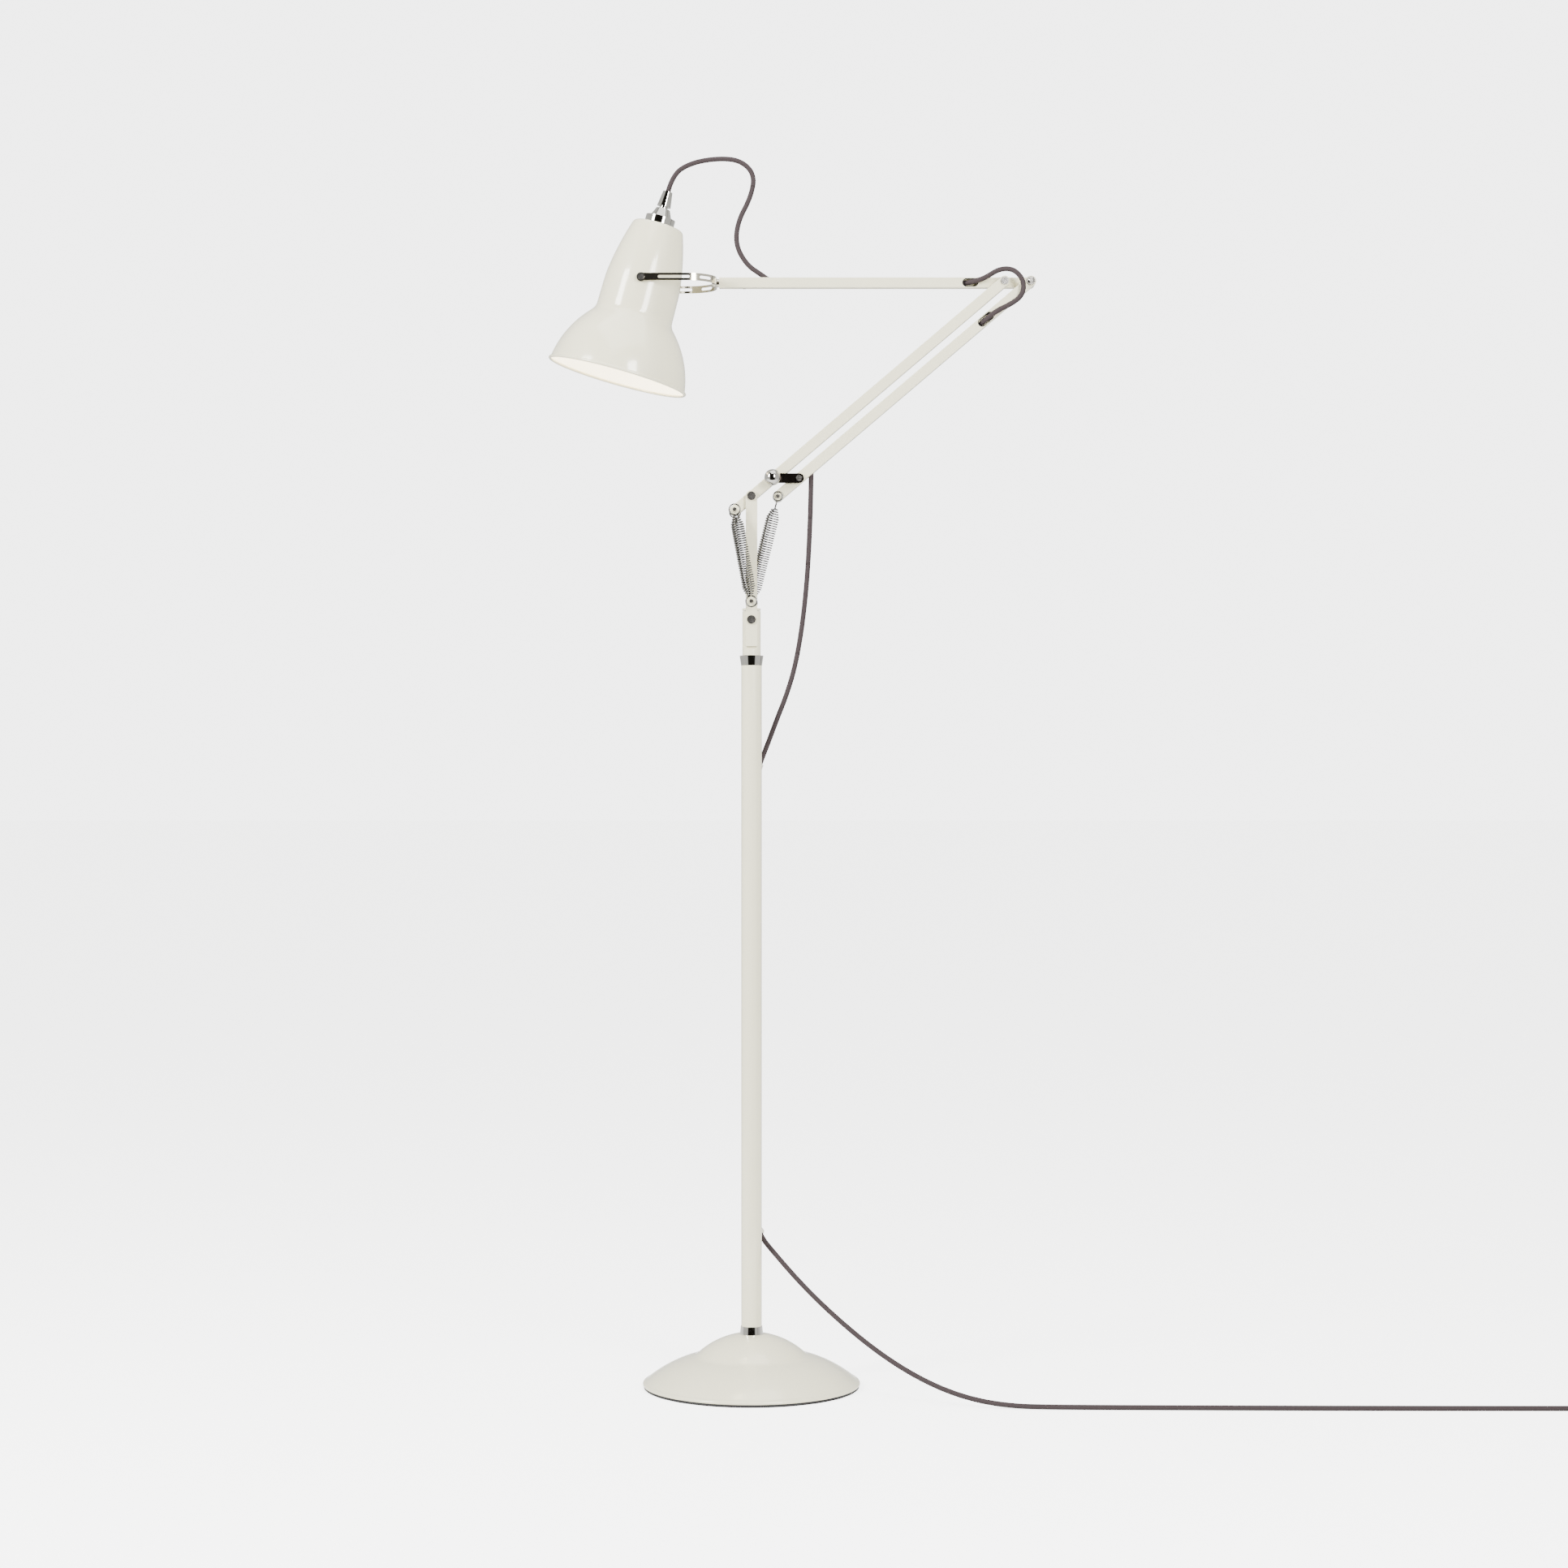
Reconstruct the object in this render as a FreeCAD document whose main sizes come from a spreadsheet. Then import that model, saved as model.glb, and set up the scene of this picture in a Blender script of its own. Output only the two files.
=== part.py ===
import FreeCAD, Part

# Adjustable arm floor lamp: a weighted base and column, a swivel, a sprung lower arm with a parallel rod,
# an upper arm, a forked lamp head, and the cord that runs from the head to the floor.
# Millimetres. Origin on the floor under the column, +Z up, the arms in the XZ plane.

import math
import os

import Sketcher

V = FreeCAD.Vector
UP = V(0, 0, 1)
FRONT = V(0, -1, 0)
BACK = V(0, 1, 0)
HERE = V(0, 0, 0)

SIZES = {
    "pad_radius": 131.0, "pad_height": 3.0, "recess_radius": 15.0,
    "cover_foot": 133.4, "cover_rim": 134.0, "cover_rim_top": 130.5, "cover_crease": 69.0,
    "cover_top": 14.4,
    "cover_rim_height": 4.8, "cover_rim_top_height": 8.0, "cover_crease_height": 38.75,
    "cover_top_height": 65.5, "cover_wall": 1.6, "rim_bend": 3.8, "skirt_bend": 154.6, "dome_bend": 98.0,
    "weight_radius": 116.0, "weight_edge": 11.0, "weight_shoulder": 62.0, "weight_top": 34.0,
    "recess_height": 10.0, "bolt_radius": 5.0, "bolt_head_radius": 8.5, "bolt_head_height": 6.4,
    "bolt_length": 46.0, "base_washer_radius": 14.0, "base_washer_thick": 2.0,
    "plug_height": 30.0, "column_radius": 12.7, "column_wall": 1.6, "column_top": 888.5,
    "collar_base_low": 14.4, "collar_base_high": 13.35, "collar_base_height": 9.5, "base_hole": 12.75,
    "collar_top_low": 13.0, "collar_top_high": 14.75, "collar_top_height": 12.0,
    "bush_height": 60.0, "shank_radius": 8.95, "shank_clearance": 0.05, "shank_length": 42.0,
    "grommet_radius": 4.6, "cord_radius": 3.1, "grommet_slack": 0.1, "grommet_length": 19.0,
    "post_radius": 11.3, "post_bottom": 900.8, "post_height": 54.5, "flat_bottom": 908.0,
    "cap_thick": 2.5, "cap_gap": 0.8, "strap_width": 14.0, "strap_round": 7.0, "strap_thick": 3.0,
    "strap_bottom": 911.8,
    "strap_face": 8.9, "shoulder_height": 1096.5, "clamp_height": 944.6, "clamp_radius": 2.5,
    "clamp_head": 5.3, "clamp_head_thick": 2.2, "spring_pin_height": 966.5, "spring_pin_radius": 2.4,
    "spring_pin_length": 50.0, "shoulder_pin_radius": 4.0, "shoulder_head": 4.3, "spacer_radius": 6.5,
    "spacer_thick": 2.4, "running_gap": 0.05,
    "bar_width": 12.7, "bar_round": 6.35, "bar_wall": 1.2, "bar_corner": 0.9, "arm_angle": 40.4,
    "lower_arm": 409.0,
    "arm_tail": 27.0, "knuckle_offset": 34.0, "lever": 32.5, "knuckle_radius": 3.0,
    "link_thick": 2.4, "link_height": 12.0, "link_round": 6.0, "link_front": 9.4,
    "link_screw_radius": 2.5, "link_head": 3.8,
    "ball_radius": 10.0, "ball_depth": 20.0, "ball_neck": 6.0, "ball_bore": 14.0,
    "rod_length": 375.0, "slot_length": 23.0, "slot_depth": 3.0, "slot_height": 10.7, "liner_wall": 0.8,
    "outlet_length": 14.0,
    "tail_pin_radius": 3.5, "tail_clearance": 0.4, "tail_nut": 5.0, "elbow_pin_radius": 4.0,
    "elbow_head": 4.8, "washer_thick": 0.4, "washer_radius": 6.0,
    "upper_depth": 13.2, "upper_end": 40.0, "arm_slot_length": 20.0, "rivet_radius": 1.6,
    "fork_height": 9.0, "fork_round": 4.5, "fork_thick": 1.6, "fork_half": 52.0, "fork_bend": 36.0,
    "fork_back": 44.0,
    "fork_slot": 3.6, "stud_radius": 2.5, "stud_boss": 5.2, "fork_nut": 4.4,
    "shade_pivot": 134.5, "shade_tilt": 15.35, "shade_wall": 1.2, "shade_hole": 16.55,
    "top_radius": 27.0, "corner_radius": 32.5, "waist_radius": 47.3, "neck_radius": 48.0,
    "flare_radius": 53.0,
    "mouth_radius": 86.0, "top_level": 74.0, "corner_level": 69.0, "neck_level": 38.0,
    "flare_level": 49.0,
    "mouth_level": 119.0, "corner_bend": 6.0, "barrel_bend": 357.0, "neck_bend": 16.7, "bell_bend": 124.0,
    "lip_radius": 2.0, "holder_radius": 16.5, "holder_bore": 13.2, "holder_length": 46.0,
    "holder_ring": 18.5, "holder_ring_height": 10.0, "dome_radius": 13.5, "dome_height": 11.0,
    "grip_radius": 8.75, "grip_top": 6.0, "grip_height": 19.0, "grip_neck": 5.0, "grip_neck_height": 3.0,
    "bulb_radius": 30.0, "bulb_level": 25.0, "bulb_neck": 12.5, "bulb_base_radius": 13.1,
    "bulb_base_height": 24.0, "screw_radius": 2.5, "screw_head": 4.2, "screw_spacer": 5.5,
    "screw_start": 43.0, "screw_length": 10.8, "spacer_start": 47.9, "spacer_length": 3.1,
    "spring_radius": 8.4, "spring_wall": 0.7, "spring_neck": 5.0, "spring_taper": 12.0, "eye_radius": 6.7,
    "eye_wire": 0.7, "spring_depth": 21.0, "hook_cheek": 1.2, "hook_gap": 13.6,
    "hook_low": 14.0, "hook_bore": 4.5, "clevis_length": 16.0, "rod_pin_length": 18.6,
    "coil_outer": 40.4, "coil_inner": 26.0, "coil_height": 12.6, "coil_line": 36.4, "coil_tail": 26.0,
    "plug_length": 34.0, "plug_width": 22.0, "plug_thick": 18.0, "plug_neck": 6.0,
    "plug_neck_length": 22.0,
    "pin_radius": 2.4, "pin_length": 19.0, "pin_spread": 7.5,
}

doc = FreeCAD.newDocument("FloorLamp")
sheet = doc.addObject("Spreadsheet::Sheet", "Sizes")
for row, (word, number) in enumerate(SIZES.items(), 1):
    sheet.set(f"A{row}", word)
    sheet.set(f"B{row}", str(number))
    sheet.setAlias(f"B{row}", word)
doc.recompute()


def size(word):
    """The number in the cell with this name."""
    return float(sheet.get(word))


def total(terms):
    """The number that a sum of cells and numbers, such as 'bar_width - 2', stands for."""
    amount = 0.0
    sign = 1.0
    for word in terms.split():
        if word in ("+", "-"):
            sign = -1.0 if word == "-" else 1.0
        else:
            amount += sign * (size(word) if word in SIZES else float(word))
    return amount


def linked(terms):
    """The same sum as an expression that reads the sheet."""
    return " ".join("Sizes." + word if word in SIZES else word for word in terms.split())


def bind(thing, **properties):
    """Tie an object's sizes to the sheet."""
    for name, terms in properties.items():
        thing.setExpression(name, linked(terms))
    return thing


def at(thing, place, axis=UP):
    """Put an object's origin at a place, with its own Z along an axis."""
    thing.Placement = FreeCAD.Placement(place, FreeCAD.Rotation(UP, axis))
    return thing


def cylinder(label, radius, height, place=HERE, axis=UP):
    return at(bind(doc.addObject("Part::Cylinder", label), Radius=radius, Height=height), place, axis)


def cone(label, low, high, height, place=HERE, axis=UP):
    blank = doc.addObject("Part::Cone", label)
    return at(bind(blank, Radius1=low, Radius2=high, Height=height), place, axis)


def ball(label, radius, place):
    return at(bind(doc.addObject("Part::Sphere", label), Radius=radius), place)


def torus(label, ring, wire, place, axis=UP):
    return at(bind(doc.addObject("Part::Torus", label), Radius1=ring, Radius2=wire), place, axis)


def block(label, length, width, height, corner):
    """A box along X, Y and Z from its lowest corner."""
    blank = doc.addObject("Part::Box", label)
    return at(bind(blank, Length=length, Width=width, Height=height), corner)


def rounded(label, shape, radius, along):
    """Round the edges that run along a direction."""
    doc.recompute()
    picks = []
    for number, edge in enumerate(shape.Shape.Edges, 1):
        ends = edge.Vertexes
        run = ends[-1].Point.sub(ends[0].Point)
        if run.Length > 0 and abs(run.normalize().dot(along)) > 0.999:
            picks.append((number, size(radius), size(radius)))
    fillet = doc.addObject("Part::Fillet", label)
    fillet.Base = shape
    fillet.Edges = picks
    return fillet


def join(label, *shapes):
    fused = doc.addObject("Part::MultiFuse", label)
    fused.Shapes = list(shapes)
    return fused


def cut(label, base, *tools):
    """Take one or more tools away from a base."""
    result = doc.addObject("Part::Cut", label)
    result.Base = base
    result.Tool = tools[0] if len(tools) == 1 else join(label + "_tools", *tools)
    return result


def group(label, *shapes):
    """Separate solids that share one name."""
    compound = doc.addObject("Part::Compound", label)
    compound.Links = list(shapes)
    return compound


def bush(label, outer, inner, height, place=HERE, axis=UP):
    """A plain ring with a through bore."""
    return cut(label, cylinder(label + "_outside", outer, height, place, axis),
               cylinder(label + "_bore", inner, height, place, axis))


def headed_pin(label, radius, head, head_thick, length, place, axis):
    """A pin with a head behind its start."""
    top = place - axis * total(head_thick)
    return join(label, cylinder(label + "_shaft", radius, length, place, axis),
                cylinder(label + "_head", head, head_thick, top, axis))


def turned(label, outline):
    """Turn an outline about Z. Each point is radius, height and the bend of the arc to the next point."""
    sketch = doc.addObject("Sketcher::SketchObject", label + "_outline")
    sketch.Placement = FreeCAD.Placement(HERE, FreeCAD.Rotation(V(1, 0, 0), 90))
    points = [V(total(across), total(height), 0) for across, height, _ in outline]
    for index, (_, _, bend) in enumerate(outline):
        start = points[index]
        end = points[(index + 1) % len(points)]
        if bend is None:
            sketch.addGeometry(Part.LineSegment(start, end), False)
            continue
        inside = bend.startswith("-")
        sketch.addGeometry(arc(start, end, total(bend.lstrip("-")), inside), False)
    firsts = [1 if edge.StartPoint.distanceToPoint(point) < 1e-6 else 2
              for edge, point in zip(sketch.Geometry, points)]
    for index, (across, height, bend) in enumerate(outline):
        before = (index - 1) % len(points)
        tie = Sketcher.Constraint("Coincident", before, 3 - firsts[before], index, firsts[index])
        sketch.addConstraint(tie)
        hold(sketch, index, firsts[index], "DistanceX", across)
        hold(sketch, index, firsts[index], "DistanceY", height)
        if bend is not None:
            number = sketch.addConstraint(Sketcher.Constraint("Radius", index, total(bend.lstrip("-"))))
            sketch.setExpression(f"Constraints[{number}]", linked(bend.lstrip("-")))
    turn = doc.addObject("Part::Revolution", label)
    turn.Source = sketch
    turn.Axis = UP
    turn.Angle = 360
    turn.Solid = True
    return turn


def arc(start, end, radius, inside):
    """The short arc between two points; an inside arc bends the other way."""
    middle = (start + end) * 0.5
    chord = end - start
    side = V(chord.y, -chord.x, 0).normalize()
    reach = math.sqrt(radius ** 2 - (chord.Length / 2) ** 2)
    centre = middle + side * (reach if inside else -reach)
    first = math.atan2(start.y - centre.y, start.x - centre.x)
    last = math.atan2(end.y - centre.y, end.x - centre.x)
    if inside:
        first, last = last, first
    if last < first:
        last += 2 * math.pi
    return Part.ArcOfCircle(Part.Circle(centre, UP, radius), first, last)


def hold(sketch, index, end, kind, terms):
    """Hold one corner of an outline at its distance from an axis."""
    if total(terms) == 0:
        axis = -2 if kind == "DistanceX" else -1
        sketch.addConstraint(Sketcher.Constraint("PointOnObject", index, end, axis))
        return
    number = sketch.addConstraint(Sketcher.Constraint(kind, -1, 1, index, end, total(terms)))
    sketch.setExpression(f"Constraints[{number}]", linked(terms))


def swept(label, route, radius):
    """A round tube along straight runs joined by tangent arcs."""
    edges = []
    radii = []
    last = route[0]
    for before, corner, after in zip(route, route[1:], route[2:]):
        inward = (before - corner).normalize()
        outward = (after - corner).normalize()
        half_turn = (math.pi - inward.getAngle(outward)) / 2
        reach = 0.45 * min(before.distanceToPoint(corner), after.distanceToPoint(corner))
        bend = reach / math.tan(half_turn)
        first = corner + inward * reach
        second = corner + outward * reach
        bisector = (inward + outward).normalize()
        middle = corner + bisector * (bend / math.cos(half_turn) - bend)
        edges.append(Part.LineSegment(last, first).toShape())
        edges.append(Part.Arc(first, middle, second).toShape())
        radii.append(bend)
        last = second
    edges.append(Part.LineSegment(last, route[-1]).toShape())
    path = Part.Wire(edges)
    start = route[0]
    circle = Part.Circle(start, (route[1] - start).normalize(), radius)
    pipe = path.makePipeShell([Part.Wire([circle.toShape()])], True, False)
    tube = doc.addObject("Part::Feature", label)
    tube.Shape = pipe
    section = math.pi * radius ** 2 * path.Length
    print(label, "length", round(path.Length, 1), "tightest", round(min(radii), 1),
          "volume ratio", round(pipe.Volume / section, 4))
    return tube


def base():
    """Cast weight on a foot pad, under a spun cover, bolted to the plugged foot of the column."""
    foot = "pad_height"
    level = V(0, 0, size(foot))
    cylinder("foot_pad", "pad_radius", foot)
    weight = turned("base_weight_casting", [
        ("bolt_radius", foot, None), ("weight_radius", foot, None), ("weight_radius", "weight_edge", None),
        ("weight_shoulder", "weight_top", None), ("bolt_radius", "weight_top", None)])
    cut("base_weight", weight, cylinder("weight_recess", "recess_radius", "recess_height", level))
    turned("base_cover", [
        ("cover_foot", foot, None), ("cover_rim", "cover_rim_height", "rim_bend"),
        ("cover_rim_top", "cover_rim_top_height", "skirt_bend"),
        ("cover_crease", "cover_crease_height", "dome_bend"), ("cover_top", "cover_top_height", None),
        ("base_hole", "cover_top_height", None), ("base_hole", "cover_top_height - cover_wall", None),
        ("cover_top", "cover_top_height - cover_wall", "-dome_bend"),
        ("cover_crease", "cover_crease_height - cover_wall - 0.4", "-skirt_bend"),
        ("cover_rim_top - cover_wall", "cover_rim_top_height - cover_wall", None),
        ("cover_foot - cover_wall", foot, None)])
    recess_top = V(0, 0, size(foot) + size("recess_height"))
    washer_low = recess_top - UP * size("base_washer_thick")
    bush("base_washer", "base_washer_radius", "bolt_radius", "base_washer_thick", washer_low)
    head = cylinder("bolt_head", "bolt_head_radius", "bolt_head_height",
                    washer_low - UP * size("bolt_head_height"))
    join("base_bolt", head, cylinder("bolt_shank", "bolt_radius", "bolt_length", washer_low))
    bush("column_plug", "column_radius - column_wall", "bolt_radius", "plug_height",
         V(0, 0, size("weight_top")))


def column():
    """Round tube with a collar at each end, a bush for the swivel and two slanted cord grommets."""
    low = V(0, 0, size("weight_top"))
    height = "column_top - weight_top"
    wall = bush("column_wall_tube", "column_radius", "column_radius - column_wall", height, low)
    holes = []
    for name, mouth, lead in CORD_HOLES:
        start = mouth - lead * (size("grommet_length") / 2)
        holes.append(cylinder(name + "_hole", "grommet_radius", "grommet_length", start, lead))
        bush(name, "grommet_radius", "cord_radius + grommet_slack", "grommet_length", start, lead)
    cut("column_tube", wall, *holes)
    collar = cone("base_collar_cone", "collar_base_low", "collar_base_high", "collar_base_height",
                  V(0, 0, size("cover_top_height")))
    cut("base_collar", collar, cylinder("base_collar_bore", "column_radius", "collar_base_height",
                                        V(0, 0, size("cover_top_height"))))
    top = V(0, 0, size("column_top"))
    bore = "shank_radius + shank_clearance"
    flare = cone("top_collar_cone", "collar_top_low", "collar_top_high", "collar_top_height", top)
    cut("top_collar", flare, cylinder("top_collar_bore", bore, "collar_top_height", top))
    bush("swivel_bush", "column_radius - column_wall", bore, "bush_height", top - UP * size("bush_height"))


def swivel():
    """Post with two flats that turns in the column, two straps clamped to it, and their pins."""
    low = V(0, 0, size("post_bottom"))
    shank = cylinder("post_shank", "shank_radius", "shank_length", low - UP * size("shank_length"))
    barrel = cylinder("post_barrel", "post_radius", "post_height", low)
    sides = []
    for side in (-1, 1):
        corner = V(-size("post_radius"), side * size("strap_face"), size("flat_bottom"))
        if side < 0:
            corner.y -= size("post_radius")
        sides.append(block(f"post_flat{side}", "post_radius + post_radius", "post_radius",
                           "post_height", corner))
    clamp = V(0, 0, size("clamp_height"))
    hole = cylinder("post_hole", "clamp_radius", "post_radius + post_radius",
                    clamp + FRONT * size("post_radius"), BACK)
    cut("swivel_post", join("post_whole", shank, barrel), *sides, hole)
    cap_low = low + UP * (size("post_height") + size("cap_gap"))
    disc = cylinder("cap_disc", "post_radius", "cap_thick", cap_low)
    stem = cylinder("cap_stem", "clamp_radius", "cap_gap", cap_low - UP * size("cap_gap"))
    trims = [block(f"cap_flat{side}", "post_radius + post_radius", "post_radius", "post_height",
                   V(-size("post_radius"), size("strap_face") if side > 0 else
                     -size("strap_face") - size("post_radius"), cap_low.z - 1)) for side in (-1, 1)]
    cut("post_cap", join("cap_whole", disc, stem), *trims)
    for name, side in (("strap_front", -1), ("strap_rear", 1)):
        strap(name, side)
    reach = size("strap_face") + size("strap_thick")
    bolt = headed_pin("clamp_bolt_body", "clamp_radius", "clamp_head", "clamp_head_thick",
                      "strap_face + strap_face + strap_thick + strap_thick + 4", clamp + FRONT * reach, BACK)
    nut = cylinder("clamp_nut", "clamp_head", "clamp_head_thick", clamp + BACK * reach, BACK)
    join("clamp_bolt", bolt, nut)
    pin = V(0, 0, size("spring_pin_height"))
    cylinder("spring_pin_lower", "spring_pin_radius", "spring_pin_length",
             pin + FRONT * (size("spring_pin_length") / 2), BACK)
    headed_pin("shoulder_pin", "shoulder_pin_radius", "shoulder_head + 1", "clamp_head_thick",
               "strap_face + strap_face + strap_thick + strap_thick + 2", SHOULDER + FRONT * reach, BACK)
    faces = (SHOULDER + FRONT * size("strap_face"),
             SHOULDER + BACK * (size("strap_face") - size("spacer_thick")))
    group("shoulder_spacers", *[bush(f"spacer_{number}", "spacer_radius", "shoulder_pin_radius",
                                     "spacer_thick", face, BACK) for number, face in enumerate(faces)])


def strap(name, side):
    """Flat upright bar with a round top about the shoulder pin."""
    face = size("strap_face") if side > 0 else -size("strap_face") - size("strap_thick")
    half = size("strap_width") / 2
    bar = block(name + "_bar", "strap_width", "strap_thick", "shoulder_height - strap_bottom",
                V(-half, face, size("strap_bottom")))
    top = cylinder(name + "_top", "strap_round", "strap_thick",
                   V(0, face, size("shoulder_height")), BACK)
    holes = []
    for role, radius, height in (("clamp", "clamp_radius", "clamp_height"),
                                 ("spring", "spring_pin_radius", "spring_pin_height"),
                                 ("shoulder", "shoulder_pin_radius", "shoulder_height")):
        holes.append(cylinder(f"{name}_{role}", radius, "strap_thick", V(0, face, size(height)), BACK))
    cut(name, join(name + "_whole", bar, top), *holes)


def bar(name, start, length, ends, holes, slots=(), depth=0.0, square_start=False):
    """Square tube along X with solid round ends, cross holes and cut slots, before it is put in place."""
    half = size("bar_width") / 2
    whole = block(name + "_blank", length, "bar_width", "bar_width", V(start, depth - half, -half))
    shapes = [rounded(name + "_soft", whole, "bar_corner", V(1, 0, 0))]
    for number, place in enumerate(ends):
        shapes.append(cylinder(f"{name}_end{number}", "bar_round", "bar_width",
                               V(place, depth - half, 0), BACK))
    wall = size("bar_wall")
    inset = 0 if square_start else 2 * half
    hollow_start = start + inset
    hollow = block(name + "_hollow", "bar_width", "bar_width - bar_wall - bar_wall",
                   "bar_width - bar_wall - bar_wall", V(hollow_start, depth - half + wall, wall - half))
    hollow.setExpression("Length", linked(length) + f" - {inset + 2 * half}")
    tools = [hollow]
    for number, (place, radius) in enumerate(holes):
        mouth = V(place, depth - half, 0)
        tools.append(cylinder(f"{name}_hole{number}", radius, "bar_width", mouth, BACK))
    tools.extend(slots)
    return cut(name, join(name + "_solid", *shapes), *tools)


def slot_tool(label, length, height, centre, axis, deep):
    """Round-ended slot cutter: length along X, sunk along an axis."""
    radius = total(height) / 2
    flat = total(length) - 2 * radius
    across = V(0, radius, 0) if abs(axis.z) > 0.5 else V(0, 0, radius)
    middle = doc.addObject("Part::Box", label + "_middle")
    bind(middle, Length=length)
    middle.setExpression("Length", linked(length) + f" - {2 * radius}")
    corner = centre - V(flat / 2, 0, 0) - across
    middle.Width = deep if abs(axis.y) > 0.5 else 2 * radius
    middle.Height = deep if abs(axis.z) > 0.5 else 2 * radius
    at(middle, corner)
    rounds = []
    for side in (-1, 1):
        place = centre + V(side * flat / 2, 0, 0)
        end = doc.addObject("Part::Cylinder", f"{label}_round{side}")
        end.Radius = radius
        end.Height = deep
        rounds.append(at(end, place, axis))
    return join(label, middle, *rounds)


def lower_arm():
    """Square tube from the spring pin behind the shoulder to the elbow."""
    tail = -size("arm_tail")
    gap = " + running_gap"
    arm = bar("lower_arm_tube", tail, "lower_arm + arm_tail", (tail, size("lower_arm")),
              [(tail, "spring_pin_radius"), (0, "shoulder_pin_radius" + gap),
               (size("knuckle_offset"), "knuckle_radius"), (size("lower_arm"), "elbow_pin_radius" + gap)])
    arm.Placement = FreeCAD.Placement(SHOULDER, ALONG)
    cylinder("spring_pin_upper", "spring_pin_radius", "spring_pin_length",
             TAIL + FRONT * (size("spring_pin_length") / 2), BACK)
    half = size("bar_width") / 2
    back = KNUCKLE + BACK * (half + 1)
    shaft = cylinder("knuckle_shaft", "knuckle_radius", "ball_depth + bar_width - 4", back, FRONT)
    disc = cylinder("knuckle_disc", "link_head", "running_gap + 1.2", back + BACK * 1.2, FRONT)
    join("knuckle_pin", shaft, disc)


def linkage():
    """Knuckle plate, ball knob and the rod that runs parallel to the lower arm."""
    low = -size("link_front")
    plate = block("link_bar", "lever", "link_thick", "link_height", V(0, low, -size("link_height") / 2))
    ends = [cylinder(f"link_end{number}", "link_round", "link_thick", V(place, low, 0), BACK)
            for number, place in enumerate((0, size("lever")))]
    holes = [cylinder("link_knuckle_hole", "knuckle_radius + running_gap", "link_thick", V(0, low, 0), BACK),
             cylinder("link_rod_hole", "link_screw_radius", "link_thick", V(size("lever"), low, 0), BACK)]
    link = cut("link_plate", join("link_whole", plate, *ends), *holes)
    link.Placement = FreeCAD.Placement(KNUCKLE, FreeCAD.Rotation())
    headed_pin("link_screw", "link_screw_radius", "link_head", "link_screw_radius - 1",
               "link_front + bar_width - 4.5", ROD_PIVOT + FRONT * size("link_front"), BACK)
    centre = KNUCKLE + FRONT * size("ball_depth")
    mouth = KNUCKLE + FRONT * (size("link_front") + 0.3)
    knob = join("knob_whole", ball("knob_ball", "ball_radius", centre),
                cylinder("knob_neck", "ball_neck", "ball_neck", mouth, FRONT))
    cut("ball_knob", knob, cylinder("knob_bore", "knuckle_radius + running_gap", "ball_bore",
                                    mouth, FRONT))
    rod()


def rod():
    """Parallel rod with its spring pin, a cord slot in front and a cord outlet underneath."""
    base_end = -size("knuckle_offset")
    half = size("bar_width") / 2
    slot_place = size("rod_length") - ROD_SLOT
    front_slot = slot_tool("rod_slot", "slot_length", "slot_height", V(slot_place, -half, 0), BACK,
                           size("slot_depth"))
    outlet = slot_tool("rod_outlet", "outlet_length", "cord_radius + cord_radius + 1",
                       V(ROD_OUTLET, 0, -half), UP, size("slot_depth"))
    tube = bar("rod_tube", base_end, "rod_length + knuckle_offset", (base_end, size("rod_length")),
                  [(base_end, "spring_pin_radius"), (0, "link_screw_radius + running_gap"),
                   (size("rod_length"), "tail_pin_radius + tail_clearance")], (front_slot, outlet))
    tube.Placement = FreeCAD.Placement(ROD_PIVOT, ALONG)
    cylinder("rod_spring_pin", "spring_pin_radius", "rod_pin_length",
             ROD_FOOT + FRONT * (size("rod_pin_length") / 2), BACK)
    liner("rod_slot_liner", "slot_length", V(slot_place, -half, 0), FreeCAD.Placement(ROD_PIVOT, ALONG))


def liner(name, length, centre, placement):
    """Thin sleeve in a slot, the thickness of the tube's wall."""
    deep = size("bar_wall")
    outside = slot_tool(name + "_outside", length, "slot_height", centre, BACK, deep)
    inside = slot_tool(name + "_inside", length + " - liner_wall - liner_wall",
                       "slot_height - liner_wall - liner_wall", centre, BACK, deep)
    cut(name, outside, inside).Placement = placement


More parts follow.
